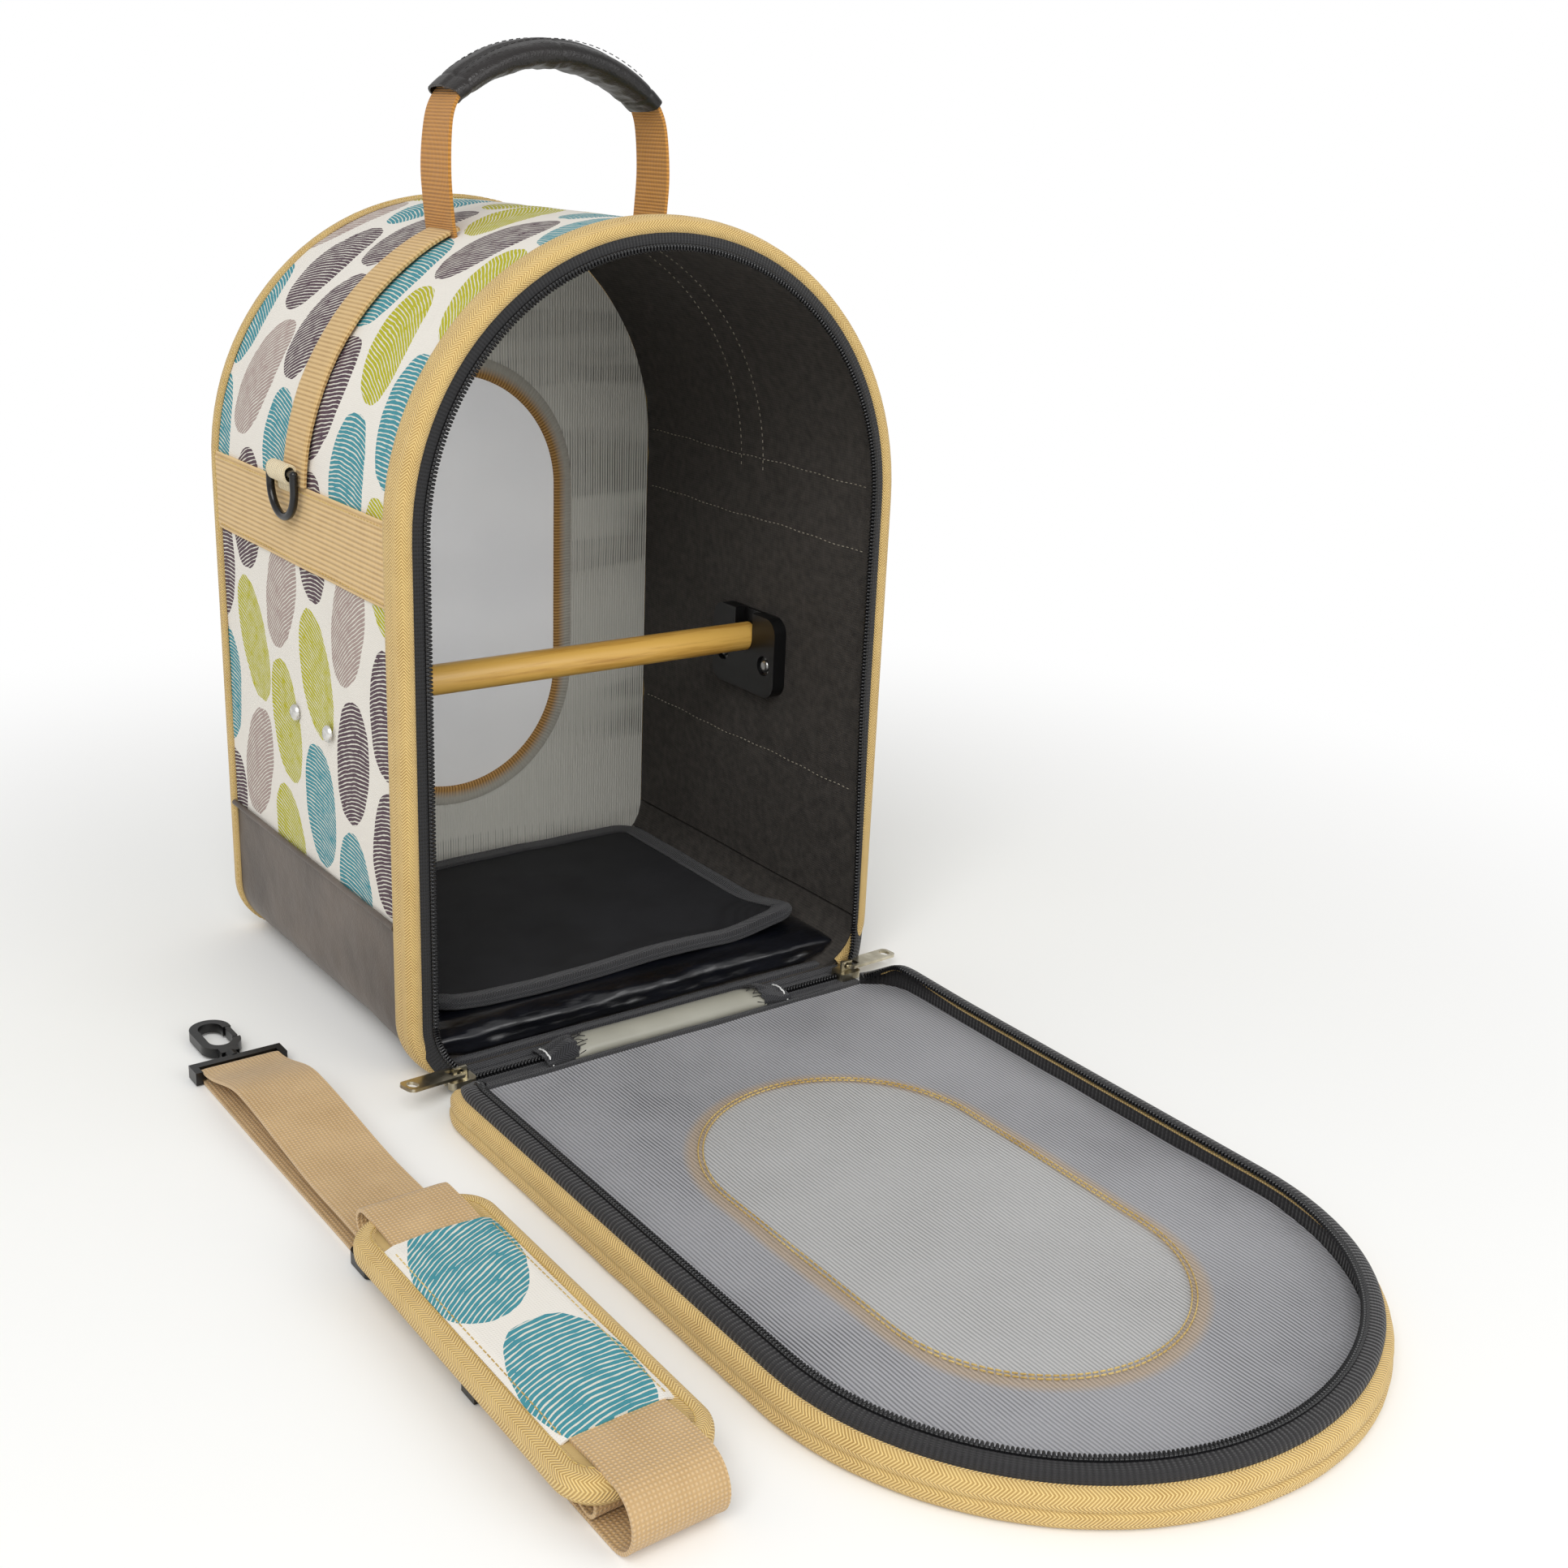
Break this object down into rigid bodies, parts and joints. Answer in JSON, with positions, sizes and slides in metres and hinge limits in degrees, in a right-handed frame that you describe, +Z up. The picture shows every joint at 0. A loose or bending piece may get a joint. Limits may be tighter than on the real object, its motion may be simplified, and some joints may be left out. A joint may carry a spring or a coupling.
{
  "type": "bird travel carrier",
  "caption": "Soft-sided arched bird carrier with a zip-off front door lying open, a wooden perch, a floor cushion, a carrying handle and a padded shoulder strap.",
  "frame": {"origin": "middle of the carrier's base, on the surface it stands on", "axes": "+X to the carrier's right seen from behind its open front, +Y from the open front towards the back, +Z up; the open door lies towards -Y"},
  "size_m": [0.3846, 0.6498, 0.478],
  "materials": {
    "print_canvas": "printed cotton-look canvas, matte",
    "base_leatherette": "grained leatherette, satin",
    "twill_binding": "herringbone twill tape, matte",
    "board_lining": "lining cloth laminated over board",
    "black_tape": "woven zip tape",
    "zip_coil": "moulded nylon coil",
    "slider_metal": "plated die-cast zinc",
    "sleeve_pvc": "satin coated sleeve",
    "mesh": "fine warp-knit mesh",
    "pane": "clear flexible pane",
    "band_webbing": "ribbed cotton webbing",
    "riser_webbing": "caramel ribbed webbing",
    "grip_leatherette": "folded and sewn leatherette",
    "black_plastic": "moulded acetal",
    "fastener_steel": "nickel-plated steel",
    "dowel": "turned hardwood, clear varnish",
    "cushion_cloth": "black satin cloth over foam",
    "tray_cloth": "black woven cloth over board",
    "black_twill": "black herringbone twill tape",
    "pad_foam": "cloth over foam",
    "strap_weave": "basket-weave cotton webbing",
    "tack_thread": "polyester thread"
  },
  "bodies": {
    "carrier": {"wall_board": "board_lining", "base_board": "board_lining", "canvas_cover": "print_canvas", "base_cover": "base_leatherette", "base_piping": "twill_binding", "front_binding": "twill_binding", "back_binding": "twill_binding", "back_mesh": "mesh", "back_window": "pane", "back_window_trim": "twill_binding", "body_zip_tape": "black_tape", "body_zip_coil": "zip_coil", "hinge_tape": "black_tape", "hinge_chain": "zip_coil", "bar_tacks": "tack_thread", "hinge_sleeve": "sleeve_pvc", "left_side_band": "band_webbing", "right_side_band": "band_webbing", "left_side_strap": "band_webbing", "right_side_strap": "band_webbing", "left_ring_loop": "band_webbing", "right_ring_loop": "band_webbing", "left_perch_bracket": "black_plastic", "right_perch_bracket": "black_plastic", "bracket_washers": "fastener_steel", "bracket_screws": "fastener_steel", "bracket_nuts": "fastener_steel", "floor_cushion": "cushion_cloth"},
    "door": {"door_panel": "print_canvas", "door_window": "pane", "door_window_trim": "twill_binding", "door_mesh": "mesh", "door_binding": "twill_binding", "door_zip_tape": "black_tape", "door_zip_coil": "zip_coil"},
    "left_slider": {"left_slider": "slider_metal"},
    "right_slider": {"right_slider": "slider_metal"},
    "left_pull": {"left_pull": "slider_metal"},
    "right_pull": {"right_pull": "slider_metal"},
    "left_d_ring": {"left_d_ring": "black_plastic"},
    "right_d_ring": {"right_d_ring": "black_plastic"},
    "handle": {"handle_webbing": "riser_webbing", "handle_grip": "grip_leatherette"},
    "perch": {"perch": "dowel"},
    "tray": {"floor_tray": "tray_cloth", "tray_binding": "black_twill"},
    "strap": {"strap_webbing": "strap_weave", "strap_pad": "pad_foam", "pad_binding": "twill_binding", "pad_cover": "print_canvas", "open_hook_eye": "black_plastic", "tucked_hook_eye": "black_plastic"},
    "slide_buckle": {"slide_buckle": "black_plastic"},
    "open_hook": {"open_hook_body": "black_plastic"},
    "tucked_hook": {"tucked_hook_body": "black_plastic"},
    "open_gate": {"open_hook_gate": "black_plastic"},
    "tucked_gate": {"tucked_hook_gate": "black_plastic"}
  },
  "joints": [
    {"name": "door_hinge", "type": "hinge", "parent": "carrier", "child": "door", "pos_m": [0, -0.1361, 0.0015], "axis": [-1, 0, 0], "range_deg": [0, 90]},
    {"name": "left_slider_run", "type": "slide", "parent": "carrier", "child": "left_slider", "axis": [1, 0, 0], "range_m": [0, 0.036]},
    {"name": "right_slider_run", "type": "slide", "parent": "carrier", "child": "right_slider", "axis": [-1, 0, 0], "range_m": [0, 0.036]},
    {"name": "left_pull_swing", "type": "hinge", "parent": "left_slider", "child": "left_pull", "pos_m": [-0.118, -0.12405, 0.0087], "axis": [-0.309, 0.9511, 0], "range_deg": [0, 140]},
    {"name": "right_pull_swing", "type": "hinge", "parent": "right_slider", "child": "right_pull", "pos_m": [0.118, -0.12405, 0.0087], "axis": [0.1392, -0.9903, 0], "range_deg": [0, 140]},
    {"name": "left_d_ring_swing", "type": "hinge", "parent": "carrier", "child": "left_d_ring", "pos_m": [-0.1417, 0.006, 0.278], "axis": [0, 1, 0], "range_deg": [0, 150]},
    {"name": "right_d_ring_swing", "type": "hinge", "parent": "carrier", "child": "right_d_ring", "pos_m": [0.1417, 0.006, 0.278], "axis": [0, -1, 0], "range_deg": [0, 150]},
    {"name": "handle_tilt", "type": "hinge", "parent": "carrier", "child": "handle", "pos_m": [0, 0, 0.40449], "axis": [1, 0, 0], "range_deg": [-65, 65]},
    {"name": "perch_lift", "type": "slide", "parent": "carrier", "child": "perch", "axis": [0, 0, 1], "range_m": [0, 0.06]},
    {"name": "tray_pull_out", "type": "slide", "parent": "carrier", "child": "tray", "axis": [0, 1, 0], "range_m": [-0.2, 0]},
    {"name": "strap_lift", "type": "slide", "parent": "carrier", "child": "strap", "axis": [0, 0, 1], "range_m": [0, 0.3]},
    {"name": "buckle_slide", "type": "slide", "parent": "strap", "child": "slide_buckle", "axis": [0, 1, 0], "range_m": [0, 0.1]},
    {"name": "open_hook_swivel", "type": "hinge", "parent": "strap", "child": "open_hook", "pos_m": [-0.2, -0.056, 0.0036], "axis": [0, 1, 0], "continuous": true},
    {"name": "tucked_hook_swivel", "type": "hinge", "parent": "strap", "child": "tucked_hook", "pos_m": [-0.2, -0.338, 0.0036], "axis": [0, 1, 0], "range_deg": [-5, 5]},
    {"name": "open_gate_press", "type": "hinge", "parent": "open_hook", "child": "open_gate", "pos_m": [-0.1921, -0.0271, 0.0036], "axis": [0, 0, 1], "range_deg": [0, 20], "stiffness_Nm_per_rad": 0.01},
    {"name": "tucked_gate_press", "type": "hinge", "parent": "tucked_hook", "child": "tucked_gate", "pos_m": [-0.1921, -0.3091, 0.0036], "axis": [0, 0, 1], "range_deg": [0, 20], "stiffness_Nm_per_rad": 0.01}
  ]
}
